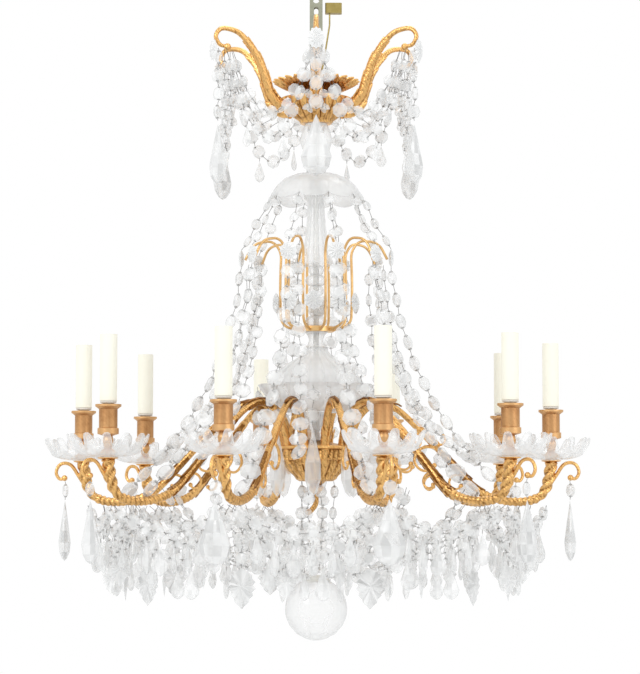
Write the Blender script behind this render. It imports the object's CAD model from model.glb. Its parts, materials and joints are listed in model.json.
# %% [markdown]
# # A crystal chandelier
# Ten gilt arms carry glass dishes and candle sleeves round a stem of blown and cut glass. Strings of
# crystal run down from a crown of six arms, and a skirt of drops closes the foot. The frame holds
# every piece at its real size. This lesson dresses it: cut glass that shows its facets, gilt bronze
# with leaves along the bars, cream sleeves and many hundreds of crystals on thin dark wire.

import json
from math import atan2, cos, hypot, pi, radians, sin, tanh

import bpy
import numpy as np
from mathutils import Matrix, Vector


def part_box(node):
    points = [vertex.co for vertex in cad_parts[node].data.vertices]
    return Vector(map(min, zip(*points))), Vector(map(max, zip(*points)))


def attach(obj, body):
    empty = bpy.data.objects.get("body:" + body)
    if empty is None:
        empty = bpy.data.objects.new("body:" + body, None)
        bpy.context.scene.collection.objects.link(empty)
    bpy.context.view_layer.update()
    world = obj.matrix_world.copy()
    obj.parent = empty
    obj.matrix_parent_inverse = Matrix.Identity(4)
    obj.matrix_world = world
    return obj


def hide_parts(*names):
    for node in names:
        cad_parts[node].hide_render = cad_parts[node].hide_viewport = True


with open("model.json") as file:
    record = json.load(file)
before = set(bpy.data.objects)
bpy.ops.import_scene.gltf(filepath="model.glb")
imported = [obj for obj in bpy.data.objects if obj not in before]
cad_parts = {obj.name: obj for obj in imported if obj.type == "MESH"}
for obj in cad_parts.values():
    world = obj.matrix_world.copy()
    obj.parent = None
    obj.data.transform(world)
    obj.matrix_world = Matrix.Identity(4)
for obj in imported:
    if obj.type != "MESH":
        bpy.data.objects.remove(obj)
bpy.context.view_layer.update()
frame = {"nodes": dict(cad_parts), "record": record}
bpy.ops.object.select_all(action="DESELECT")

# %% [markdown]
# The measures that several pieces need stand here. Heights come from the boxes of the frame's nodes,
# and the rest are reaches that the frame was built to.

# %% Sizes that the pieces share
MM = 0.001
UP = Vector((0, 0, 1))
ARMS = 10
ARM_STEP = 360 / ARMS
FIRST_ARM = 15.0  # degrees clockwise from the front
CROWN_ARMS = 6
CROWN_STEP = 360 / CROWN_ARMS
CANDLE_REACH = 360 * MM
DROP_REACH = 388 * MM  # the tips of the outer curls
CROWN_REACH = 172 * MM  # the tips of the crown arms
CROWN_FALL = 145 * MM  # from the top of the crown arms down to their drops
DROP_LENGTH = 92 * MM


def heights(node):
    """Lowest and highest point of a node of the frame."""
    low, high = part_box(node)
    return low[2], high[2]


hub_foot = heights("hub")[0]
dip = hub_foot - 31 * MM  # the lowest point of an arm's middle line
pan_top = hub_foot + 32 * MM
canopy_rim, canopy_top = heights("canopy")
basket_foot = heights("wire_basket")[0]
ball_foot, cap_top = heights("ball")
crown_top = heights("crown_drop_1")[1] + CROWN_FALL
cup_low, cup_high = heights("crown_cup")
arm_directions = [FIRST_ARM + n * 360 / ARMS for n in range(ARMS)]
crown_directions = [n * 360 / CROWN_ARMS for n in range(CROWN_ARMS)]
print("hub", round(hub_foot, 4), "canopy rim", round(canopy_rim, 4), "crown top", round(crown_top, 4))

# %% [markdown]
# The photograph was taken from about three and a half metres, with the lens level with the low edge
# of the glass dishes. A long lens on a high, narrow film gives the same flat perspective.

# %% Camera
EYE = Vector((0.0, -3.5, -0.8))
AIM = Vector((0.006, 0.0, -0.526))
FILM_HEIGHT = 36  # millimetres
FOCAL_LENGTH = 121.5  # millimetres
look = (AIM - EYE).to_track_quat("-Z", "Y").to_euler()
bpy.ops.object.camera_add(location=EYE, rotation=look)
camera = bpy.context.object
camera.data.sensor_fit = "VERTICAL"
camera.data.sensor_height = FILM_HEIGHT
camera.data.lens = FOCAL_LENGTH
bpy.context.scene.camera = camera
print("camera at", tuple(round(v, 3) for v in EYE))


# %% [markdown]
# Shader sums are easier to read as plain arithmetic. This small class wraps a socket, so that
# `a * 2 + b` adds the Math nodes that it needs. A recipe is a material or a world being made.


# %% A socket that does arithmetic
def maths(operation, swapped=False):
    """Method that adds one Math node."""

    def method(self, *others):
        values = (*others, self) if swapped else (self, *others)
        return self.recipe.node("ShaderNodeMath", {"operation": operation}, values)[0]

    return method


class Wire:
    """An output socket of a node in a recipe."""

    def __init__(self, recipe, socket):
        self.recipe = recipe
        self.socket = socket

    __add__ = __radd__ = maths("ADD")
    __mul__ = __rmul__ = maths("MULTIPLY")
    __sub__, __rsub__ = maths("SUBTRACT"), maths("SUBTRACT", swapped=True)
    power, larger, fraction = maths("POWER"), maths("MAXIMUM"), maths("FRACT")
    sine, absolute = maths("SINE"), maths("ABSOLUTE")


class Recipe:
    """A new material or world, with one method that adds any node."""

    def __init__(self, owner, output="ShaderNodeOutputMaterial"):
        self.owner = owner
        self.owner.use_nodes = True
        self.tree = self.owner.node_tree
        self.tree.nodes.clear()
        self.output = self.tree.nodes.new(output)

    def node(self, kind, options=None, values=()):
        """Add a node, set its options, link or fill its inputs, and return its outputs."""
        node = self.tree.nodes.new(kind)
        for key, value in (options or {}).items():
            setattr(node, key, value)
        pairs = values.items() if isinstance(values, dict) else enumerate(values)
        for key, value in pairs:
            if isinstance(value, Wire):
                self.tree.links.new(value.socket, node.inputs[key])
            else:
                node.inputs[key].default_value = value
        return [Wire(self, out) for out in node.outputs]

    def place(self):
        """Coordinates that stay with the object."""
        return self.node("ShaderNodeTexCoord")[3]

    def noise(self, place, scale, detail):
        values = {"Vector": place, "Scale": scale, "Detail": detail}
        return self.node("ShaderNodeTexNoise", None, values)[0]

    def pointiness(self):
        """0.5 on flat ground, more on edges and less in hollows."""
        return self.node("ShaderNodeNewGeometry")[7]

    def clamped(self, value):
        return self.node("ShaderNodeClamp", None, {0: value})[0]

    def blend(self, share, first, second):
        """Colour between two colours by a share from 0 to 1. A colour is a wire or three numbers."""
        first, second = (c if isinstance(c, Wire) else (*c, 1) for c in (first, second))
        return self.node("ShaderNodeMix", {"data_type": "RGBA"}, {0: share, 6: first, 7: second})[2]

    def finish(self, shader):
        self.tree.links.new(shader.socket, self.output.inputs[0])
        return self.owner

    def principled(self, values, relief=None):
        """End the recipe with one Principled shader, on a bump where it has a relief."""
        if relief:
            values["Normal"] = self.node("ShaderNodeBump", None, relief)[0]
        return self.finish(self.node("ShaderNodeBsdfPrincipled", None, values)[0])


def new_material(name):
    return Recipe(bpy.data.materials.new(name))


print("shader helpers ready")

# %% [markdown]
# Everything behind the chandelier is white. Only camera, glossy and transmission rays see that
# white in full, and the object gets a plainer light.

# %% White surroundings
SKY_LIGHT = 0.85
CAMERA_RAY, GLOSSY_RAY, TRANSMISSION_RAY = 0, 3, 6  # outputs of the Light Path node


def white_when_seen(recipe, dim, bright):
    """Finish with the bright shader for rays that see the surroundings and the dim one as light."""
    path = recipe.node("ShaderNodeLightPath")
    seen = path[CAMERA_RAY].larger(path[GLOSSY_RAY]).larger(path[TRANSMISSION_RAY])
    return recipe.finish(recipe.node("ShaderNodeMixShader", None, {0: seen, 1: dim, 2: bright})[0])


room = Recipe(bpy.data.worlds.new("white_room"), "ShaderNodeOutputWorld")
cool_light = room.node("ShaderNodeBackground", None, ((0.96, 0.98, 1.0, 1), SKY_LIGHT))[0]
plain_white = room.node("ShaderNodeBackground", None, ((1, 1, 1, 1), 1.0))[0]
bpy.context.scene.world = white_when_seen(room, cool_light, plain_white)
bpy.context.scene.view_settings.view_transform = "Standard"
print("world: white to the camera,", SKY_LIGHT, "as light")

# %% Floor and lamps
FLOOR_Z = -1.75
FLOOR_RADIUS = 6
LAMP_AIM = Vector((0, 0, -0.5))
ground = new_material("floor_white")
matt = ground.node("ShaderNodeBsdfDiffuse", None, {0: (0.85, 0.85, 0.85, 1)})[0]
glow = ground.node("ShaderNodeEmission", None, {0: (1, 1, 1, 1), 1: 1.0})[0]
floor_white = white_when_seen(ground, matt, glow)
bpy.ops.mesh.primitive_circle_add(
    vertices=64, radius=FLOOR_RADIUS, fill_type="NGON", location=(0, 0, FLOOR_Z)
)
floor = bpy.context.object
floor.name = "floor"
floor.data.materials.append(floor_white)
for name, place, power, size in (
    ("key_lamp", (-2.2, -2.6, 1.2), 42, 1.6),
    ("fill_lamp", (2.6, -2.2, 0.2), 22, 2.0),
    ("top_lamp", (0.4, 0.8, 2.2), 26, 2.0),
):
    turn = (LAMP_AIM - Vector(place)).to_track_quat("-Z", "Y").to_euler()
    bpy.ops.object.light_add(type="AREA", location=place, rotation=turn)
    bpy.context.object.name = name
    bpy.context.object.data.energy = power
    bpy.context.object.data.size = size
print("three soft lamps")

# %% [markdown]
# Cut crystal on a white ground is mostly seen by its edges: a facet that faces the eye lets the
# white through, and a tilted one turns grey. Each facet also catches another part of the room, so
# the finish takes a share from its direction, and neighbours differ. Blown and pressed glass has no
# facets, and there the edges and hollows of the relief turn grey instead.

# %% Cut crystal
CLEAR_TINT = (1.0, 1.0, 0.99)
CLOUD_GREY = (0.52, 0.52, 0.51)
EDGE_GREY = (0.50, 0.50, 0.49)


def crystal(name, clear, tilt, cloud=1.0, relief=0.0):
    """Glass by its plain opacity, that of tilted ground, how far facets differ, and its relief."""
    recipe = new_material(name)
    shade = recipe.node("ShaderNodeLayerWeight", None, {0: 0.42})[1].power(1.6)
    facet = recipe.node("ShaderNodeTexCoord")[1]
    across, away, up = recipe.node("ShaderNodeSeparateXYZ", None, {0: facet})
    # one value from 0 to 1 for each facet, spread by a steep sine of its direction
    glint = ((across * 17.3 + away * 31.7 + up * 11.9).sine() * 437.5).fraction()
    haze = recipe.noise(recipe.place(), 60.0, 2.0)
    edges = recipe.clamped((recipe.pointiness() - 0.5).absolute() * relief)
    grey = recipe.blend(glint.power(3.0) * (cloud * 0.8), CLEAR_TINT, CLOUD_GREY)
    colour = recipe.blend(shade * 0.55 + edges * 0.6, grey, EDGE_GREY)
    opacity = shade * tilt + glint * (cloud * 0.42) + haze * 0.12 + edges * 0.35
    opacity = opacity + (clear - 0.06 - 0.2 * cloud)
    surface = {"Roughness": 0.07, "IOR": 1.52, "Specular IOR Level": 0.6}
    return recipe.principled({"Base Color": colour, "Alpha": opacity, **surface})


crystal_bead = crystal("crystal_bead", 0.34, 0.45, cloud=0.85)
crystal_drop = crystal("crystal_drop", 0.36, 0.55, cloud=0.8)
crystal_dish = crystal("crystal_dish", 0.17, 0.95, cloud=0.0, relief=5.0)
crystal_petal = crystal("crystal_petal", 0.17, 0.95, cloud=0.0, relief=5.0)
crystal_rosette = crystal("crystal_rosette", 0.80, 0.2, cloud=0.2, relief=4.5)
crystal_almond = crystal("crystal_almond", 0.44, 0.6, cloud=1.1, relief=1.0)
ball_glass = crystal("ball_glass", 0.20, 0.85, cloud=0.0, relief=9.0)
print("seven crystal finishes")

# %% [markdown]
# The bronze is fire-gilt: warm orange gold, brighter where cloths rub it and brown in the hollows.
# A fine carved grain drives bumps and dark hollows together, and the hollows of the shape itself are
# darker still. The cups are turned, so they have far less grain.


# %% Gilt bronze
def gilt(name, light, dark, rough, carve):
    """Gilt metal between a light and a dark gold, with its roughness and the depth of its carving."""
    recipe = new_material(name)
    place = recipe.place()
    grain = recipe.noise(place, 90.0, 4.0)
    wear = recipe.noise(place, 24.0, 3.0)
    cells = recipe.node("ShaderNodeTexVoronoi", {"feature": "F1"}, {"Vector": place, "Scale": 320.0})[0]
    veins = recipe.node(
        "ShaderNodeTexWave",
        {"wave_type": "BANDS", "bands_direction": "DIAGONAL"},
        {"Vector": place, "Scale": 95.0, "Distortion": 5.0, "Detail": 2.0, "Detail Scale": 2.0},
    )[1]
    carving = cells.power(1.5) * carve + grain.power(3.0) * 0.8 + veins.power(2.0) * (carve * 1.1)
    hollows = (0.5 - recipe.pointiness()) * 9.0
    darkness = recipe.clamped(carving * 1.35 + wear * 0.2 + hollows - 0.12)
    relief = {"Strength": 0.7, "Distance": 0.9 * MM, "Height": 1 - carving}
    colour = recipe.blend(darkness, light, dark)
    values = {"Base Color": colour, "Metallic": 1.0, "Roughness": wear * 0.25 + rough}
    return recipe.principled(values, relief)


gilt_bronze = gilt("gilt_bronze", (0.85, 0.51, 0.19), (0.26, 0.11, 0.025), 0.2, 0.35)
cup_bronze = gilt("cup_bronze", (0.68, 0.41, 0.19), (0.44, 0.22, 0.09), 0.36, 0.08)
basket_wire = gilt("basket_wire", (0.80, 0.52, 0.23), (0.46, 0.24, 0.08), 0.25, 0.02)
print("gilt bronze, cup bronze and basket wire")

# %% [markdown]
# The rest is plain: cream sleeves, grey lampholders, a steel link, a brass block, thin dark wire and
# the silvery rod inside the glass. Each one gets a soft mottle, because no real surface is one colour.


# %% Plain finishes
def plain(name, light, dark, rough, metal=0.0, scale=60.0):
    """Mottled finish between two colours, with its roughness, its metal share and the mottle's scale."""
    recipe = new_material(name)
    mottle = recipe.noise(recipe.place(), scale, 4.0)
    relief = {"Strength": 0.3, "Distance": 0.3 * MM, "Height": mottle}
    colour = recipe.blend(mottle, light, dark)
    values = {"Base Color": colour, "Metallic": metal, "Roughness": mottle * 0.15 + rough}
    return recipe.principled(values, relief)


candle_cream = plain("candle_cream", (0.97, 0.955, 0.84), (0.93, 0.90, 0.76), 0.5, scale=18.0)
holder_grey = plain("holder_grey", (0.80, 0.80, 0.76), (0.62, 0.61, 0.57), 0.45)
link_steel = plain("link_steel", (0.42, 0.42, 0.33), (0.26, 0.27, 0.20), 0.4, 0.7, 120.0)
block_brass = plain("block_brass", (0.46, 0.37, 0.13), (0.26, 0.19, 0.05), 0.35, 0.8, 90.0)
string_wire = plain("string_wire", (0.20, 0.19, 0.18), (0.10, 0.09, 0.08), 0.4, 0.8, 200.0)
rod_silver = plain("rod_silver", (0.86, 0.86, 0.84), (0.74, 0.74, 0.72), 0.3, 0.3)
print("cream, grey, steel, brass, silver and wire")

# %% [markdown]
# Many nodes of the frame are right as they are, such as the sleeves, the cups and the turned vase.
# They only get a finish, by their slot in the part's record or, for three of them, one of their own.

# %% Finishes of the frame's own pieces
finish_of = {
    "crystal": crystal_dish,
    "gilt_bronze": gilt_bronze,
    "steel": link_steel,
    "block_brass": block_brass,
    "lampholder_grey": holder_grey,
    "candle_cream": candle_cream,
}
slots = {part["node"]: part["material_slot"] for part in frame["record"]["subparts"]}
own_finish = {"candle_cups": cup_bronze, "central_rod": rod_silver, "wire_basket": basket_wire}
for name, piece in frame["nodes"].items():
    finish = own_finish.get(name, finish_of[slots[name]])
    if not piece.material_slots:
        piece.data.materials.append(finish)
    for holder in piece.material_slots:
        holder.material = finish
print(len(slots), "frame nodes dressed")


# %% [markdown]
# Most pieces repeat, so a few helpers place a point round the axis, name the body that a piece rides
# on, and gather hundreds of copies of one small shape into one mesh.


# %% Helpers for pieces
WELD = 1e-6  # points of a turned shape that are closer than this are one point


def at(reach, height, direction):
    """Point at a distance from the axis, a height and a direction clockwise from the front."""
    angle = radians(direction)
    return Vector((reach * sin(angle), -reach * cos(angle), height))


def chosen(piece):
    """Make a piece the active one and the only one that is selected."""
    bpy.ops.object.select_all(action="DESELECT")
    piece.select_set(True)
    bpy.context.view_layer.objects.active = piece


def finish_piece(piece, name, finish, *nodes, slot="crystal", body="chandelier", angle=0):
    """Name and smooth a piece, and give it its finish, slot, body and the nodes it stands for."""
    if angle:
        chosen(piece)
        bpy.ops.object.shade_smooth_by_angle(angle=radians(angle))
    piece.name = name
    piece.data.name = name
    piece.data.materials.clear()
    piece.data.materials.append(finish)
    if nodes:
        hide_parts(*nodes)
    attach(piece, body)


def mesh_piece(points, faces, edges=()):
    """A new object from points, faces and loose edges."""
    mesh = bpy.data.meshes.new("piece")
    mesh.from_pydata([tuple(p) for p in points], edges, [tuple(f) for f in faces])
    piece = bpy.data.objects.new("piece", mesh)
    bpy.context.scene.collection.objects.link(piece)
    return piece


def shape_of(piece):
    """Points and faces of a piece that is kept as a pattern, which is then deleted."""
    points = np.array([v.co[:] for v in piece.data.vertices])
    faces = [tuple(f.vertices) for f in piece.data.polygons]
    bpy.data.objects.remove(piece)
    return points, faces


def together(patterns):
    """One pattern made of several."""
    points, faces, start = [], [], 0
    for some_points, some_faces in patterns:
        points.append(some_points)
        faces += [tuple(i + start for i in face) for face in some_faces]
        start += len(some_points)
    return np.vstack(points), faces


def gathered(pattern, places):
    """One object with a copy of a pattern at each place, a 4 by 4 matrix."""
    points, faces = pattern
    full = np.hstack([points, np.ones((len(points), 1))])
    copies = [((full @ np.array(place).T)[:, :3], faces) for place in places]
    return mesh_piece(*together(copies))


def tidy_normals(piece, weld=0.0):
    """All faces of a piece point outwards, after points closer than a distance are joined."""
    chosen(piece)
    bpy.ops.object.mode_set(mode="EDIT")
    bpy.ops.mesh.select_all(action="SELECT")
    if weld:
        bpy.ops.mesh.remove_doubles(threshold=weld)
    bpy.ops.mesh.normals_make_consistent(inside=False)
    bpy.ops.object.mode_set(mode="OBJECT")


def placed_at(point, along, outward, size, twist=0.0):
    """Place whose Z runs along a string and whose Y looks outward, scaled to a size."""
    along = along.normalized()
    side = outward.cross(along).normalized()
    front = along.cross(side)
    turned = Matrix((side, front, along)).transposed().to_4x4()
    turned = Matrix.Translation(point) @ turned @ Matrix.Rotation(radians(twist), 4, "Z")
    return turned @ Matrix.Scale(size, 4)


def upright(reach, height, direction, size, twist=0.0):
    """Place of an upright piece that looks away from the axis."""
    return placed_at(at(reach, height, direction), UP, at(1, 0, direction), size, twist)


def facing_out(direction):
    """Turn that lays a piece drawn in the XZ plane, X away from the axis, in a direction."""
    turn = radians(direction)
    return Matrix(((sin(turn), cos(turn), 0), (-cos(turn), sin(turn), 0), (0, 0, 1))).to_4x4()


print("helpers for pieces ready")

# %% [markdown]
# Bowls, dishes and glass walls are turned on a lathe here as in the workshop. The turned points are
# then pushed in or down by a formula of the angle, which gives lobes, flutes and petals.


# %% Turned shapes
def lathe(profile, steps, moved=None, wall=False):
    """Turned shape: a profile of (radius, height) is spun round the Z axis, then its points may move.

    The profile of a wall is closed on itself, and any other profile starts and ends on the axis.
    """
    count = len(profile)
    edges = [(n, (n + 1) % count) for n in range(count if wall else count - 1)]
    piece = mesh_piece([(r, 0, z) for r, z in profile], [], edges)
    chosen(piece)
    bpy.ops.object.mode_set(mode="EDIT")
    bpy.ops.mesh.select_all(action="SELECT")
    bpy.ops.mesh.spin(steps=steps, angle=2 * pi, center=(0, 0, 0), axis=(0, 0, 1))
    bpy.ops.object.mode_set(mode="OBJECT")
    tidy_normals(piece, WELD)
    if moved:
        for vertex in piece.data.vertices:
            reach = hypot(vertex.co.x, vertex.co.y)
            turn = atan2(vertex.co.y, vertex.co.x)
            new_reach, new_height = moved(reach, turn, vertex.co.z)
            vertex.co = (new_reach * cos(turn), new_reach * sin(turn), new_height)
    return piece


def lobes(count, turn, first=0.0):
    """1 in the middle of each of a number of lobes round the axis, and 0 between two of them."""
    return abs(cos(count * (turn + pi / 2 - radians(first)) / 2))


def creases(count, turn, first=0.0):
    """1 in the sharp valleys between round lobes, and 0 on top of them."""
    return 1 - lobes(count, turn, first) ** 0.6


def profile_of(keys, low, high):
    """Profile from keys of (radius in mm, share of the height)."""
    return [(r * MM, low + (high - low) * share) for r, share in keys]


def walled(outer, inward, rise):
    """Profile of a wall: the outer line and, back along it, the same line moved in and up, in mm."""
    last = len(outer) - 1
    inner = [(max(r - inward * MM, MM), z + rise(n / last) * MM) for n, (r, z) in enumerate(outer)]
    return outer + inner[::-1]


print("turned shapes ready")

# %% [markdown]
# Cast arms are round bars along a smooth line. The radius is a formula of the way along it, so one
# sweep has its groove, rings and rope. Leaves are thin sheets bent round the bar, with toothed edges
# and a tip that lifts off.


# %% Bars and leaves
def smooth_line(keys, steps):
    """Points along a smooth line through key points (x, z) in mm."""
    keys = [Vector((x * MM, 0, z * MM)) for x, z in keys]
    ends = [keys[0] * 2 - keys[1]] + keys + [keys[-1] * 2 - keys[-2]]
    line = []
    for a, b, c, d in zip(ends, ends[1:], ends[2:], ends[3:]):
        for n in range(steps):
            t = n / steps
            square = (2 * a - 5 * b + 4 * c - d) * t**2
            cube = (3 * b - a - 3 * c + d) * t**3
            line.append(0.5 * (2 * b + (c - a) * t + square + cube))
    return line + [keys[-1]]


def frames(line):
    """At each point of a line: the share of the way, the point and the direction square to it."""
    lengths = np.concatenate([[0], np.cumsum([(b - a).length for a, b in zip(line, line[1:])])])
    result = []
    for n, point in enumerate(line):
        along = (line[min(n + 1, len(line) - 1)] - line[max(n - 1, 0)]).normalized()
        result.append((lengths[n] / lengths[-1], point, Vector((-along.z, 0, along.x))))
    return result


def round_the_bar(normal, turn):
    """Direction off a bar at an angle round it."""
    return normal * cos(turn) + Vector((0, sin(turn), 0))


def swept(line, radius, sides):
    """Round bar along a line. Its radius depends on the share of the way and the angle round it."""
    points, faces = [], []
    rows = frames(line)
    for share, point, normal in rows:
        for k in range(sides):
            turn = 2 * pi * k / sides
            points.append(point + round_the_bar(normal, turn) * radius(share, turn))
    for n in range(len(rows) - 1):
        for k in range(sides):
            a, b = n * sides + k, n * sides + (k + 1) % sides
            faces.append((a, b, b + sides, a + sides))
    faces.append(tuple(reversed(range(sides))))
    faces.append(tuple(range((len(rows) - 1) * sides, len(rows) * sides)))
    return np.array(points), [tuple(reversed(f)) for f in faces]


def leaf_on_bar(line, start, length, turn, radius, width=0.9, lift=1.8, teeth=5):
    """Leaf of a length in mm that starts at a share of a bar's way, at an angle round the bar."""
    rows = frames(line)
    shares = [row[0] for row in rows]
    whole = sum((b - a).length for a, b in zip(line, line[1:]))
    across, down = 4, 10
    depth = 1.5  # the leaf's thickness
    points, faces = [], []
    for layer in (1, 0):
        for n in range(down + 1):
            t = n / down
            share = min(max(start + length * MM * t / whole, 0), 1)
            k = min(int(np.interp(share, shares, range(len(rows)))), len(rows) - 2)
            part = (share - shares[k]) / max(shares[k + 1] - shares[k], 1e-9)
            part = min(max(part, 0), 1)
            point = rows[k][1].lerp(rows[k + 1][1], part)
            normal = rows[k][2].lerp(rows[k + 1][2], part)
            tooth = abs(sin(pi * teeth * t))
            spread = width * (sin(pi * min(t * 0.82 + 0.18, 1)) ** 0.6) * (1 - 0.28 * tooth)
            for m in range(across + 1):
                u = 2 * m / across - 1
                rise = radius + lift * t**3 + 0.8 * (1 - abs(u)) + 0.5 * tooth + 0.25
                reach = rise * MM if layer else (rise - depth) * MM
                points.append(point + round_the_bar(normal, turn + u * spread) * reach)
    size = (across + 1) * (down + 1)
    for n in range(down):
        for m in range(across):
            a = n * (across + 1) + m
            top = (a, a + across + 1, a + across + 2, a + 1)
            faces += [top, tuple(i + size for i in reversed(top))]
        a, b = n * (across + 1), n * (across + 1) + across
        faces += [(a, a + size, a + size + across + 1, a + across + 1)]
        faces += [(b + across + 1, b + across + 1 + size, b + size, b)]
    for m in range(across):
        a, b = m, down * (across + 1) + m
        faces += [(a + 1, a + 1 + size, a + size, a), (b, b + size, b + size + 1, b + 1)]
    return np.array(points), faces


def knob(x, z, radius, squash=1.0):
    """Small round end in the plane of a bar, in mm."""
    bpy.ops.mesh.primitive_uv_sphere_add(segments=12, ring_count=8, radius=radius * MM)
    piece = bpy.context.object
    for vertex in piece.data.vertices:
        vertex.co = (vertex.co.x + x * MM, vertex.co.y, vertex.co.z * squash + z * MM)
    return shape_of(piece)


def ring_bulge(share, first, last, count, height):
    """Height of the rounded rings that stand on a bar between two shares of its way."""
    if not first < share < last:
        return 0.0
    return height * abs(sin(pi * count * (share - first) / (last - first)))


print("bars and leaves ready")

# %% [markdown]
# An octagon bead is a flat stone with eight sides: a table on each face, and two rows of three-sided
# facets between it and the girdle. The facets carry the look, so its points are written ring by ring.
# The almond, whose belly lies low, and the slimmer spear are coarse spheres drawn out by a formula.
# All are modelled once at a size of one.

# %% Patterns of the crystals
TABLE, GIRDLE, HALF_DEPTH, EDGE = 0.29, 0.5, 0.2, 0.045
SIDES = 8


def octagon_bead():
    """Flat eight-sided bead of size one, which looks along Y."""
    points = []
    rings = (
        (TABLE, HALF_DEPTH, 0.5),
        (GIRDLE, EDGE, 0),
        (GIRDLE, -EDGE, 0),
        (TABLE, -HALF_DEPTH, 0.5),
    )
    for reach, depth, shift in rings:
        turns = [pi * (n + shift) / 4 for n in range(SIDES)]
        points += [(reach * sin(turn), depth, reach * cos(turn)) for turn in turns]
    faces = [tuple(range(SIDES)), tuple(reversed(range(24, 32)))]
    for n in range(SIDES):
        a, b = n, (n + 1) % SIDES
        faces += [(8 + b, a, 8 + a), (a, 8 + b, b), (8 + a, 16 + a, 16 + b, 8 + b)]
        faces += [(24 + a, 16 + b, 16 + a), (16 + b, 24 + a, 24 + b)]
    piece = mesh_piece(points, faces)
    tidy_normals(piece)
    return shape_of(piece)


def almond(segments, rings, width, thickness, belly):
    """Faceted drop of height one that hangs from its top point at the origin."""
    bpy.ops.mesh.primitive_uv_sphere_add(segments=segments, ring_count=rings, radius=0.5)
    piece = bpy.context.object
    for vertex in piece.data.vertices:
        x, y, z = vertex.co
        down = min(max(0.5 - z, 0), 1)
        if down < belly:
            bulge = (down / belly) ** 0.9
        else:
            bulge = max(1 - ((down - belly) / (1 - belly)) ** 2, 0) ** 0.62
        ring = max(hypot(x, y), 1e-6)
        vertex.co = (x / ring * width / 2 * bulge, y / ring * thickness / 2 * bulge, -down)
    tidy_normals(piece, 1e-5)
    return shape_of(piece)


bead_pattern = octagon_bead()
bpy.ops.mesh.primitive_cylinder_add(vertices=5, radius=0.5, depth=1, location=(0, 0, 0))
wire_pattern = shape_of(bpy.context.object)
almond_pattern = almond(10, 8, 0.53, 0.20, 0.70)
spear_pattern = almond(6, 6, 0.30, 0.24, 0.58)
print("bead", len(bead_pattern[1]), "almond", len(almond_pattern[1]), "faces")

# %% [markdown]
# The rosette is a pressed flower with twelve petals, each with a ridge, round a raised middle. The
# plaque is a leaf with sawn edges and a raised rib. Both have the same relief on their two faces.


# %% Rosette and leaf plaque
def petalled(count, radius, thickness, depth):
    """Flower of petals round a raised middle, flat in XZ and facing Y."""
    points, faces = [(0, thickness / 2, 0), (0, -thickness / 2, 0)], []
    steps = count * 2
    for n in range(steps):
        turn = 2 * pi * n / steps
        edge = radius * (1 - depth * (n % 2))
        ridge = thickness * (0.46, 0.2)[n % 2]
        points.append((edge * sin(turn), 0, edge * cos(turn)))
        for side in (ridge, -ridge):
            points.append((edge * 0.55 * sin(turn), side, edge * 0.55 * cos(turn)))
    for n in range(steps):
        a, b = 2 + 3 * n, 2 + 3 * ((n + 1) % steps)
        faces += [(a, a + 1, b + 1, b), (a + 1, 0, b + 1), (a, b, b + 2, a + 2), (a + 2, b + 2, 1)]
    return np.array(points), faces


def leaf(width, thickness, teeth):
    """Leaf plaque of length one with a raised rib, hanging from the origin and facing Y."""
    half = []
    for n in range(1, 2 * teeth):
        share = n / (2 * teeth)
        reach = width / 2 * (sin(pi * share**0.8) ** 0.8) * (1 - 0.20 * (n % 2))
        half.append((reach, -share))
    outline = [(0, 0)] + half + [(0, -1)] + [(-x, z) for x, z in reversed(half)]
    points = [(x, 0, z) for x, z in outline]
    points += [(0, thickness / 2, -0.45), (0, -thickness / 2, -0.45)]
    count = len(outline)
    faces = [(n, count, (n + 1) % count) for n in range(count)]
    faces += [((n + 1) % count, count + 1, n) for n in range(count)]
    return np.array(points), faces


rosette_pattern = petalled(12, 0.5, 0.26, 0.14)
plaque_pattern = leaf(0.78, 0.14, 6)
print("rosette", len(rosette_pattern[1]), "plaque", len(plaque_pattern[1]), "faces")

# %% [markdown]
# A string is a row of beads on a wire that sags or is pulled. One walk along its curve gives the
# places of the beads, the thin wires and the dark pins that the eye reads as detail. Real beads never
# hang quite alike, so each has a turn and a shift that come from its number. Lengths in the calls of
# the methods are in millimetres.

# %% Strings
WALK = 160  # steps of the walk along a curve
BEAD_END = 0.4  # where the wire meets a bead, as a share of its size
WOBBLE = 1.2 * MM
TWIST = 30.0  # degrees
WIRE_THICKNESS = 0.8 * MM
pin_shape = Matrix.Rotation(pi / 2, 4, "X") @ Matrix.Diagonal((0.085, 0.085, 0.21, 1))
small_patterns = {"spear": spear_pattern, "almond": almond_pattern, "leaf": plaque_pattern}


def hanging(start, end, sag=0):
    """Curve between two points that sags by a height at its middle."""
    return lambda share: start.lerp(end, share) - Vector((0, 0, 4 * sag * share * (1 - share)))


def swag(reach, height, direction, step, aside, sag):
    """Curve that hangs between two arms a step apart, with both ends a few degrees inside them."""
    first = at(reach, height, direction + aside)
    return hanging(first, at(reach, height, direction + step - aside), sag)


def pulled(start, pull, end):
    """Curve that leaves one point towards a second and ends at a third."""
    return lambda share: start * (1 - share) ** 2 + pull * (2 * share * (1 - share)) + end * share**2


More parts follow.
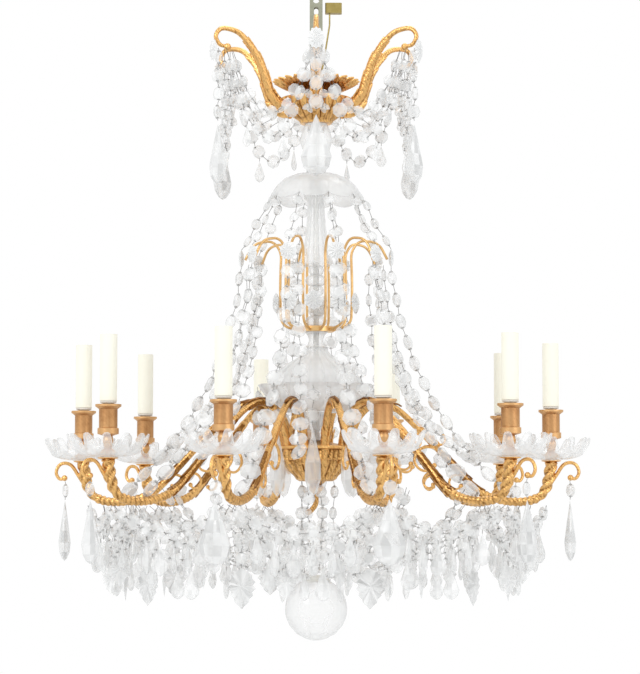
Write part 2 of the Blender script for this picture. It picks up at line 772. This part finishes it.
class Strings:
    """Gathers the places of the beads, the wires, the pins and the small drops of many strings."""

    def __init__(self):
        self.beads, self.wires, self.pins = [], [], []
        self.small = {kind: [] for kind in small_patterns}
        self.count = 0

    def wire(self, here, there):
        along = there - here
        if along.length > 0.1 * MM:
            place = placed_at((here + there) / 2, along, Vector((0.3, 1, 0.2)), 1.0)
            size = Matrix.Diagonal((WIRE_THICKNESS, WIRE_THICKNESS, along.length, 1))
            self.wires.append(place @ size)

    def run(self, curve, first, last, gap=9, lead=0):
        """Beads along a curve, from a first to a last size, with a gap between two and bare ends."""
        first, last, gap, lead = first * MM, last * MM, gap * MM, lead * MM
        samples = [curve(n / WALK) for n in range(WALK + 1)]
        steps = [(b - a).length for a, b in zip(samples, samples[1:])]
        lengths = np.concatenate([[0], np.cumsum(steps)])
        whole = lengths[-1]
        count = max(1, round((whole - 2 * lead) / ((first + last) / 2 + gap)))
        step = (whole - 2 * lead) / count
        ways = [lead + step * (n + 0.5) for n in range(count)]
        centres = [curve(np.interp(way, lengths, np.linspace(0, 1, WALK + 1))) for way in ways]
        stops = [curve(0.0)] + centres + [curve(1.0)]
        last_end = stops[0]
        for n, centre in enumerate(centres):
            size = first + (last - first) * (n / (count - 1) if count > 1 else 0)
            along = (stops[n + 2] - stops[n]).normalized()
            self.count += 1
            turn = TWIST * sin(2.4 * self.count) + TWIST * 0.4 * sin(5.1 * self.count)
            wobble = Vector((sin(3.1 * self.count), cos(4.3 * self.count), 0)) * WOBBLE
            outward = Vector((centre.x, centre.y, 0.02))
            place = placed_at(centre + wobble, along, outward, size, turn)
            self.beads.append(place)
            for end in (BEAD_END, -BEAD_END):
                self.pins.append(place @ Matrix.Translation((0, 0, end)) @ pin_shape)
            self.wire(last_end, centre + wobble - along * size * BEAD_END)
            last_end = centre + wobble + along * size * BEAD_END
        self.wire(last_end, stops[-1])
        return centres

    def hang(self, point, below, length, kind, wire=6):
        """A small drop on a short wire that starts a little below a point."""
        start = point - Vector((0, 0, below * MM))
        top = start - Vector((0, 0, wire * MM))
        self.wire(start, top)
        self.count += 1
        outward = Vector((start.x, start.y, 0.01))
        place = placed_at(top, UP, outward, length * MM, 50 * sin(1.9 * self.count))
        self.small[kind].append(place)

    def fringe(self, points, below, kinds):
        """Small drops under some beads, in turn of each kind, a length and a pattern."""
        for n, point in enumerate(points):
            self.hang(point, below, *kinds[n % len(kinds)])

    def make(self, name, node):
        """Turn the places into pieces. The beads stand for a node of the frame."""
        finish_piece(gathered(bead_pattern, self.beads), name, crystal_bead, node)
        for ending, places in (("_wire", self.wires), ("_pins", self.pins)):
            finish_piece(gathered(wire_pattern, places), name + ending, string_wire, slot="steel")
        for kind, places in self.small.items():
            if places:
                drops = gathered(small_patterns[kind], places)
                finish_piece(drops, f"{name}_{kind}_drops", crystal_drop)
        small_count = sum(map(len, self.small.values()))
        print(name, len(self.beads), "beads", small_count, "small drops")


print("strings ready")

# %% [markdown]
# Each arm is cast in one piece. It leaves the hub upwards, turns over, runs down and out in a long S
# and ends in a roped stem under the glass dish. Leaves and scrolls lie along it, and a thin branch
# turns over at the outer end to carry the hanging drop. One arm is drawn flat and copied ten times.

# %% Arm
ARM_KEYS = [
    (48, 26), (54, 66), (67, 100), (92, 119), (122, 112), (160, 78), (206, 29), (246, -12),
    (280, -28), (318, -31), (344, -22), (356, 2), (360, 30),
]
CURL_KEYS = [
    (312, -29), (336, -26), (354, -10), (367, 8), (378, 24), (389, 28), (398, 24), (402, 13),
    (397, 4), (389, 4),
]
CURL_END = (389, 5)
SCROLLS = (  # middle x and z, radius, first angle, turn, thickness
    (173, 31, 22, 70, 250, 2.6),
    (217, -3, 13, 70, 250, 2.2),
    (191, 66, 11, 160, 230, 2.0),
)
ARM_LEAVES = ((0.03, 44, 6.2), (0.20, 52, 5.7), (0.36, 58, 5.3), (0.52, 54, 5.2))
LEAF_TURNS = (0.0, 2.1, -2.1)
TIP_LEAF_TURNS = (0.7, -0.7, 2.4, -2.4)
PAN_KEYS = [(0, -4), (8.5, -4), (10, -2), (8.6, -0.4), (15, 1.4), (15, 2.6), (0, 2.6)]


def arm_radius(share, turn):
    """Slender bar with a groove on top, then rounded rings, then a roped stem that swells."""
    slender = 6.0 - 0.8 * sin(pi * min(share * 1.15, 1))
    swell = 3.0 * max(0, (share - 0.87) / 0.13) * (1.35 - max(0, (share - 0.95) / 0.05) * 0.5)
    rope = 1.5 * sin(3 * turn + 190 * share) * min(max((share - 0.86) * 20, 0), 1)
    rings = ring_bulge(share, 0.66, 0.87, 13, 1.5)
    groove = -0.9 * max(cos(turn), 0) ** 6 if 0.12 < share < 0.84 else 0
    return (slender + swell + rope + rings + groove) * MM


def cast(piece, name, node, angle=48):
    """Finish a piece of gilt bronze."""
    finish_piece(piece, name, gilt_bronze, node, slot="gilt_bronze", angle=angle)


def scroll_keys(x, z, radius, start, turn, inward=0.5):
    """Points of a scroll round a middle, from one angle on through a turn, winding inwards."""
    keys = []
    for n in range(10):
        share = n / 9
        reach = radius * (1 - inward * max(share - 0.45, 0) / 0.55)
        angle = radians(start + turn * share)
        keys.append((x + reach * cos(angle), z + reach * sin(angle)))
    return keys


def lifted(keys):
    """Keys measured from the hub's foot, moved to their height in the frame."""
    return [(x, z + hub_foot / MM) for x, z in keys]


arm_line = smooth_line(lifted(ARM_KEYS), 18)
curl_line = smooth_line(lifted(CURL_KEYS), 5)
arm_parts = [swept(arm_line, arm_radius, 16)]
arm_parts.append(swept(curl_line, lambda share, turn: (3.1 - 0.6 * share) * MM, 8))
arm_parts.append(knob(*lifted([CURL_END])[0], 4.6))
for *shape, thick in SCROLLS:
    line = smooth_line(lifted(scroll_keys(*shape)), 3)
    arm_parts.append(swept(line, lambda share, turn: (thick * (1 - 0.3 * share)) * MM, 8))
    arm_parts.append(knob(line[-1].x / MM, line[-1].z / MM, thick * 1.5))
for start, length, radius in ARM_LEAVES:
    for turn in LEAF_TURNS:
        arm_parts.append(leaf_on_bar(arm_line, start, length, turn, radius))
for turn in TIP_LEAF_TURNS:
    arm_parts.append(leaf_on_bar(arm_line, 0.62, 34, turn, 5.2, 0.6, 2.4, 3))
pan_low = pan_top - 3.2 * MM
pan = lathe([(r * MM, pan_low + z * MM) for r, z in PAN_KEYS], 24)
pan.data.transform(Matrix.Translation((CANDLE_REACH, 0, 0)))
arm_parts.append(shape_of(pan))
arm_pattern = together(arm_parts)
for number, direction in enumerate(arm_directions, start=1):
    arm = gathered(arm_pattern, [facing_out(direction)])
    tidy_normals(arm)
    cast(arm, f"arm_{number}_cast", f"arm_{number}")
print("arm", len(arm_pattern[1]), "faces, copied", ARMS, "times")

# %% [markdown]
# The glass dishes under the candles are pressed flowers with twelve tall petals, round at the tip.
# The dish is turned first, and the rim is then pulled down between the petals.

# %% Petal dishes
DISH_HEIGHT, DISH_RADIUS, DISH_BASE = 34 * MM, 60 * MM, 17.5 * MM
DISH_ROWS = 8
PETALS = 12
FINGER = 1.7  # how steep the sides of the petals are
dish_foot = heights("bobeches")[0]


def petal_dish(reach, turn, height):
    """Pull the wall in and down between the petals, and put a rib on either side of each."""
    up = (height - dish_foot) / DISH_HEIGHT
    wave = tanh(FINGER * (2 * lobes(PETALS, turn) ** 2 - 0.9)) / tanh(FINGER)
    petal = min(0.5 + 0.5 * wave, 1)
    lower = (1 - petal) * max(up, 0) ** 1.1
    rib = 1.1 * MM * sin(pi * lobes(PETALS, turn)) * min(up * 3, 1)
    out = max(reach - DISH_BASE, 0)
    new_reach = reach - out * 0.24 * lower - 2.6 * MM * (1 - petal) * up - rib
    return new_reach, height - DISH_HEIGHT * 0.56 * lower


dish_line = [(DISH_BASE, dish_foot)]
for n in range(1, DISH_ROWS):
    share = n / DISH_ROWS
    wide = DISH_BASE + (DISH_RADIUS - DISH_BASE) * sin(share * pi / 2) ** 0.95
    dish_line.append((wide, dish_foot + DISH_HEIGHT * share**1.7))
dish_line.append((DISH_RADIUS, dish_foot + DISH_HEIGHT * 0.965))
dish_wall = walled(dish_line, 1.9, lambda share: 2.0 * (1 - 0.6 * share))
dish_pattern = shape_of(lathe(dish_wall, 192, petal_dish, wall=True))
places = []
for direction in arm_directions:
    places.append(Matrix.Translation(at(CANDLE_REACH, 0, direction)) @ facing_out(direction))
dishes = gathered(dish_pattern, places)
tidy_normals(dishes)
finish_piece(dishes, "petal_dishes", crystal_petal, "bobeches", angle=32)
print("petal dish", len(dish_pattern[1]), "faces")

# %% [markdown]
# The crown carries six arms of the same leafy kind, each with a scroll at its tip. Two leafy bowls
# hold them: a wide one that opens upwards and a deeper one below it.

# %% Crown arms and bowls
CROWN_KEYS = [
    (46, -172.7), (66, -168), (82, -152), (91, -128), (101, -104), (116, -83), (134, -66),
    (152, -60.5), (168, -62), (176, -74), (169, -86), (156, -88),
]
CROWN_LEAVES = ((0.02, 42, 8.4, 1.4), (0.16, 42, 7.2, 1.4), (0.30, 40, 6.0, 1.4), (0.43, 38, 5.0, 1.0))
DISH_KEYS = [(14, 0), (20, 0.18), (32, 0.36), (46, 0.55), (56, 0.76)]
CUP_KEYS = [
    (0, 0), (24, 0), (27, 0.12), (40, 0.35), (50, 0.62), (55, 0.84), (55.5, 1), (51, 1),
    (44, 0.6), (0, 0.4),
]


def crown_radius(share, turn):
    """Bar that thins towards its tip, with rounded rings on its upper side."""
    rings = ring_bulge(share, 0.06, 0.5, 14, 1.3) * max(cos(turn), 0.3)
    return (9.4 - 6.6 * share**0.6 + rings) * MM


def dish_leaves(reach, turn, height):
    """Part the upper edge of the wide bowl into 24 leaves and put a rib down each of them."""
    up = min(max((height - dish_low) / dish_tall, 0), 1)
    valley = creases(24, turn)
    ripple = 0.05 * cos(24 * turn) * up + 0.5 * 0.05 * cos(2 * 24 * turn) * up
    return reach * (1 - 0.03 * valley * up + ripple), height - 0.12 * dish_tall * valley * up**2


def cup_leaves(reach, turn, height):
    """Sixteen hollow flutes on the belly of the deeper bowl."""
    belly = sin(pi * (height - cup_low) / (cup_high - cup_low))
    return reach * (1 - 0.15 * creases(16, turn) * belly), height


crown_line = smooth_line(CROWN_KEYS, 14)
crown_parts = [swept(crown_line, crown_radius, 12), knob(156, -88.5, 5.6), knob(96, -114.7, 7.2, 0.8)]
for start, length, radius, lift in CROWN_LEAVES:
    for turn in LEAF_TURNS:
        crown_parts.append(leaf_on_bar(crown_line, start, length, turn, radius, 0.95, lift))
crown_arms = gathered(together(crown_parts), [facing_out(direction) for direction in crown_directions])
tidy_normals(crown_arms)
cast(crown_arms, "crown_cast_arms", "crown_arms")

dish_low, dish_high = heights("crown_dish")
dish_tall = dish_high - dish_low
wide_line = profile_of(DISH_KEYS, dish_low, dish_high)
wide_line.append((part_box("crown_dish")[1][0], dish_high - 1 * MM))
wide_wall = walled(wide_line, 1.44, lambda share: 1.92)
wide_bowl = lathe(wide_wall, 240, dish_leaves, wall=True)
cast(wide_bowl, "crown_leaf_dish", "crown_dish", 40)
deep_bowl = lathe(profile_of(CUP_KEYS, cup_low, cup_high), 160, cup_leaves)
cast(deep_bowl, "crown_leaf_cup", "crown_cup", 40)
print("crown arms and bowls")

# %% [markdown]
# The hub is a bronze bowl that carries the arms. Its belly has deep gadroons, which are round ribs,
# and a band of slanting cuts runs above them.

# %% Hub
GADROONS = 20
HUB_KEYS = [
    (0, 0), (9, 0), (26, 0), (31, 3), (34, 8), (43, 16), (49, 25), (52, 31), (55, 32), (57, 36),
    (57, 43), (55, 47), (60, 49), (60, 53), (50, 55), (30, 58), (14, 62), (0, 62),
]


def gadroons(reach, turn, height):
    """Deep gadroons on the lower bowl and a band of slanting cuts above them."""
    up = (height - hub_foot) / MM
    bowl = sin(pi * min(max((up - 1) / 31, 0), 1))
    band = 1 if 32.5 < up < 45 else 0
    slant = 1 + sin(2 * GADROONS * turn + up * 0.7)
    cut = 0.13 * creases(GADROONS, turn) * bowl + 0.035 * band * slant
    return reach * (1 - cut), height


hub_bowl = lathe([(r * MM, hub_foot + z * MM) for r, z in HUB_KEYS], 240, gadroons)
cast(hub_bowl, "hub_bowl", "hub", 34)
print("hub with", GADROONS, "gadroons and a band of cuts")

# %% [markdown]
# The glass in the middle is blown and cut: a scalloped canopy, a fluted trumpet, a bell and a lobed
# bowl round the metal rod, which are thin walls, turned and then waved. The ball at the foot is a
# sphere with cut leaves in its lower third.

# %% Canopy, trumpet, bell, bowl and ball
CANOPY_TALL = 47 * MM
SCALLOPS = FIRST_ARM + ARM_STEP / 2  # direction of the first scallop of the canopy
CAP_KEYS = [(0, 0), (12, 0), (17, -3), (21, -8), (21.5, -10.5), (19, -11.2), (0, -11.2)]


def scalloped(reach, turn, height):
    """Ten scallops in the rim of the canopy, which rises between them."""
    down = (canopy_top - height) / CANOPY_TALL
    valley = creases(ARMS, turn, SCALLOPS)
    flat_valley = 1 - lobes(ARMS, turn, SCALLOPS)
    return reach * (1 - 0.03 * flat_valley * down), height + 7 * MM * valley * max(down, 0) ** 3


def fluted(count, depth, full_reach=1 * MM, power=0):
    """Mover that cuts flutes to a share of the reach, in full from full_reach outwards."""

    def moved(reach, turn, height):
        share = min(reach / full_reach, 1) ** power
        return reach * (1 - depth * creases(count, turn) * share), height

    return moved


GLASS_WALLS = (  # node, steps, mover, thickness, keys of (radius, share of the height)
    ("canopy", 120, scalloped, 3.0,
     [(15, 1), (16, 0.93), (34, 0.90), (50, 0.76), (62, 0.52), (70, 0.26), (76, 0)]),
    ("trumpet", 96, fluted(12, 0.09), 2.4,
     [(11, 1), (12, 0.8), (13.5, 0.6), (15.5, 0.42), (18, 0.26), (22, 0.12), (27, 0.03), (29, 0)]),
    ("glass_bell", 128, fluted(16, 0.08, 50 * MM, 1), 3.0,
     [(18, 1), (19, 0.9), (26, 0.76), (42, 0.6), (57, 0.4), (68, 0.2), (75, 0)]),
    ("glass_bowl", 128, fluted(16, 0.06, 90 * MM, 2), 3.4,
     [(45, 0), (52, 0.1), (64, 0.3), (76, 0.55), (85, 0.8), (90, 1)]),
)
for node, steps, mover, thickness, keys in GLASS_WALLS:
    outside = profile_of(keys, *heights(node))
    bulge = 0.35 * thickness
    glass_wall = walled(outside, 0.9 * thickness, lambda share: bulge * (2 * abs(share - 0.5) - 1))
    glass = lathe(glass_wall, steps, mover, wall=True)
    finish_piece(glass, node.removeprefix("glass_") + "_glass", crystal_dish, node, angle=30)

ball_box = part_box("ball")
ball_radius = (ball_box[1][0] - ball_box[0][0]) / 2
ball_middle = (ball_foot + 47.7 * MM) * UP
bpy.ops.mesh.primitive_uv_sphere_add(segments=96, ring_count=48, radius=ball_radius, location=(0, 0, 0))
ball = bpy.context.object
for vertex in ball.data.vertices:
    down = -vertex.co.z / ball_radius
    turn = atan2(vertex.co.y, vertex.co.x)
    low_third = min(max((down - 0.25) * 4, 0), 1) * (1 if down < 0.9 else 0.4)
    cut = (1 - lobes(8, turn) ** 0.5) * 0.045 + 0.02 * abs(sin(12 * down)) * lobes(8, turn)
    vertex.co = vertex.co * (1 - cut * low_third) + ball_middle
finish_piece(ball, "cut_ball", ball_glass, "ball", angle=20)
cap = lathe([(r * MM, cap_top + z * MM) for r, z in CAP_KEYS], 32)
finish_piece(cap, "ball_cap", holder_grey, "ball", angle=40)
print("glass of the stem and the ball, radius", round(ball_radius / MM, 1), "mm")

# %% [markdown]
# The strings of the tent run from the canopy's edge to the rosettes at the basket's tips and from
# there, with growing beads, to the low ends of the arms. A second, inner row makes the tent full.

# %% Tent strings
TIP_REACH = 110 * MM
ROSETTE_REACH = TIP_REACH + 6 * MM
rosette_z = basket_foot + 112 * MM + 2 * MM
tent = Strings()
for direction in arm_directions:
    edge = at(71 * MM, canopy_rim + 8 * MM, direction)
    over = at(ROSETTE_REACH, rosette_z + 14 * MM, direction)
    tent.run(hanging(edge, over, 4 * MM), 18, 20, 10)
    under = at(ROSETTE_REACH, rosette_z - 14 * MM, direction)
    pull = at(TIP_REACH + 30 * MM, hub_foot + 113 * MM, direction)
    foot = at(CANDLE_REACH - 58 * MM, dip + 7 * MM, direction)
    tent.run(pulled(under, pull, foot), 24, 32, 6)
    inner_top = at(ROSETTE_REACH - 12 * MM, rosette_z - 10 * MM, direction + 5)
    inner_pull = at(TIP_REACH + 12 * MM, hub_foot + 105 * MM, direction + 12)
    inner_foot = at(255 * MM, hub_foot + 30 * MM, direction + 15)
    tent.run(pulled(inner_top, inner_pull, inner_foot), 20, 28, 7)
tent.make("tent_beads", "tent_strings")

# %% [markdown]
# Each tip of the crown has a short string down to its almond. Two swags hang from tip to tip, the
# outer one with small drops, and thin strings run in from the tips to the bowl.

# %% Crown strings
hang_z = crown_top - 28 * MM
bowl_hook = cup_high - 6 * MM
crown = Strings()
for direction in crown_directions:
    start = at(CROWN_REACH, hang_z, direction)
    end = at(CROWN_REACH, crown_top - CROWN_FALL + 5 * MM, direction)
    crown.run(hanging(start, end), 23, 23, 6)
    outer_swag = swag(160 * MM, hang_z, direction, CROWN_STEP, 1, 142 * MM)
    low = crown.run(outer_swag, 23, 23, 4, 14)
    inner_swag = swag(150 * MM, hang_z - 3 * MM, direction, CROWN_STEP, 1, 100 * MM)
    crown.run(inner_swag, 20, 20, 6, 14)
    for side in (1, -1):
        start = at(152 * MM, hang_z - 2 * MM, direction + 3 * side)
        end = at(58 * MM, bowl_hook, direction + 14 * side)
        crown.run(hanging(start, end, 56 * MM), 15, 15, 13, 8)
    crown.fringe(low[3:-3:3], 9, ((34, "almond"),))
crown.make("crown_beads", "crown_strings")

# %% [markdown]
# The skirt is the densest part. Three rings of swags hang between the arms, with small drops under
# their beads in a mixed order. A bag of strings closes in on the ball below, long spears hang from
# the glass bowl, and a few strings hang straight down from the hub.

# %% Skirt
below_arm = dip - 6.5 * MM
plaque_z = cap_top + 17 * MM
lug_reach = CANDLE_REACH - 67 * MM
INNER_REACH, OUTER_REACH, EDGE_REACH = lug_reach + 18 * MM, 328 * MM, 352 * MM
OUTER_KINDS = ((40, "almond"), (46, "almond"), (44, "leaf"))
EDGE_KINDS = ((42, "almond"), (50, "spear"), (46, "almond"))
INNER_KINDS = ((42, "spear"), (42, "almond"))
BAG_KINDS = ((44, "spear"), (44, "almond"))
skirt = Strings()
for direction in arm_directions:
    inner = skirt.run(swag(INNER_REACH, below_arm, direction, ARM_STEP, 0.5, 55 * MM), 22, 22, 5, 8)
    outer = skirt.run(swag(OUTER_REACH, below_arm, direction, ARM_STEP, 0.5, 78 * MM), 22, 22, 5, 10)
    top = at(lug_reach - 14 * MM, below_arm, direction)
    pull = at(lug_reach * 0.6, cap_top + 6 * MM, direction)
    bag = skirt.run(pulled(top, pull, at(22 * MM, cap_top - 4 * MM, direction)), 22, 16, 6, 8)
    half = direction + ARM_STEP / 2
    top = at(240 * MM, hub_foot - 12 * MM, half)
    pull = at(170 * MM, cap_top + 14 * MM, half)
    skirt.run(pulled(top, pull, at(60 * MM, cap_top + 2 * MM, half)), 20, 18, 6, 8)
    top = at(lug_reach, below_arm - 11 * MM, direction)
    skirt.run(hanging(top, at(lug_reach, plaque_z, direction)), 22, 22, 7)
    top = at(DROP_REACH, dip + 31 * MM, direction)
    skirt.run(hanging(top, at(DROP_REACH, dip + 2.5 * MM, direction)), 22, 22)
    skirt.fringe(outer[1:-1], 10, OUTER_KINDS)
    edge = skirt.run(swag(EDGE_REACH, below_arm, direction, ARM_STEP, 0.5, 40 * MM), 22, 22, 6, 8)
    skirt.fringe(edge[1:-1], 10, EDGE_KINDS)
    skirt.fringe(inner[1:-1:2], 10, INNER_KINDS)
    skirt.fringe(bag[2:7:2], 6, BAG_KINDS)
for direction in arm_directions:
    rim = at(93 * MM, hub_foot + 143 * MM, direction + ARM_STEP / 2)
    foot = rim - 62 * MM * UP
    skirt.run(hanging(rim, foot), 21, 23, 5)
    skirt.hang(foot, 0, 104, "spear", 2)
for direction in range(18, 360, 72):
    start = at(27 * MM, hub_foot, direction)
    skirt.run(hanging(start, start - 98 * MM * UP), 20, 20)
skirt.make("skirt_beads", "skirt_strings")

# %% [markdown]
# Rosettes sit at the tips of the basket and of the crown and hang inside the basket. A leaf plaque
# ends the string below each arm.

# %% Rosettes and plaques
tall = Matrix.Diagonal((1, 1, 1.3, 1))
places = [upright(ROSETTE_REACH, rosette_z, direction, 29 * MM) for direction in arm_directions]
for direction in crown_directions:
    places.append(upright(CROWN_REACH + 8 * MM, hang_z - 4 * MM, direction, 26 * MM) @ tall)
for direction in arm_directions:
    places.append(upright(64 * MM, basket_foot + 44 * MM, direction + ARM_STEP / 2, 31 * MM))
rosettes = gathered(rosette_pattern, places)
finish_piece(rosettes, "rosettes", crystal_rosette, "rosettes_and_plaques")
places = []
for direction in arm_directions:
    places.append(upright(lug_reach, plaque_z, direction, 58 * MM, 14 * sin(direction)))
plaques = gathered(plaque_pattern, places)
finish_piece(plaques, "plaques", crystal_almond, "rosettes_and_plaques")
print("rosettes and plaques")

# %% [markdown]
# The big almonds hang on hooks, ten under the outer curls and six under the crown. Each one swings,
# so each is a piece of its own on its own body.

# %% The almond drops that swing
for name, node, directions, reach, top in (
    ("almond", "arm_drop", arm_directions, DROP_REACH, hub_foot - 30 * MM),
    ("crown_almond", "crown_drop", crown_directions, CROWN_REACH, crown_top - CROWN_FALL),
):
    for number, direction in enumerate(directions, start=1):
        drop = gathered(almond_pattern, [upright(reach, top, direction, DROP_LENGTH)])
        body = f"{node}_{number}"
        finish_piece(drop, f"{name}_{number}", crystal_almond, body, body=body)
print("sixteen swinging drops")
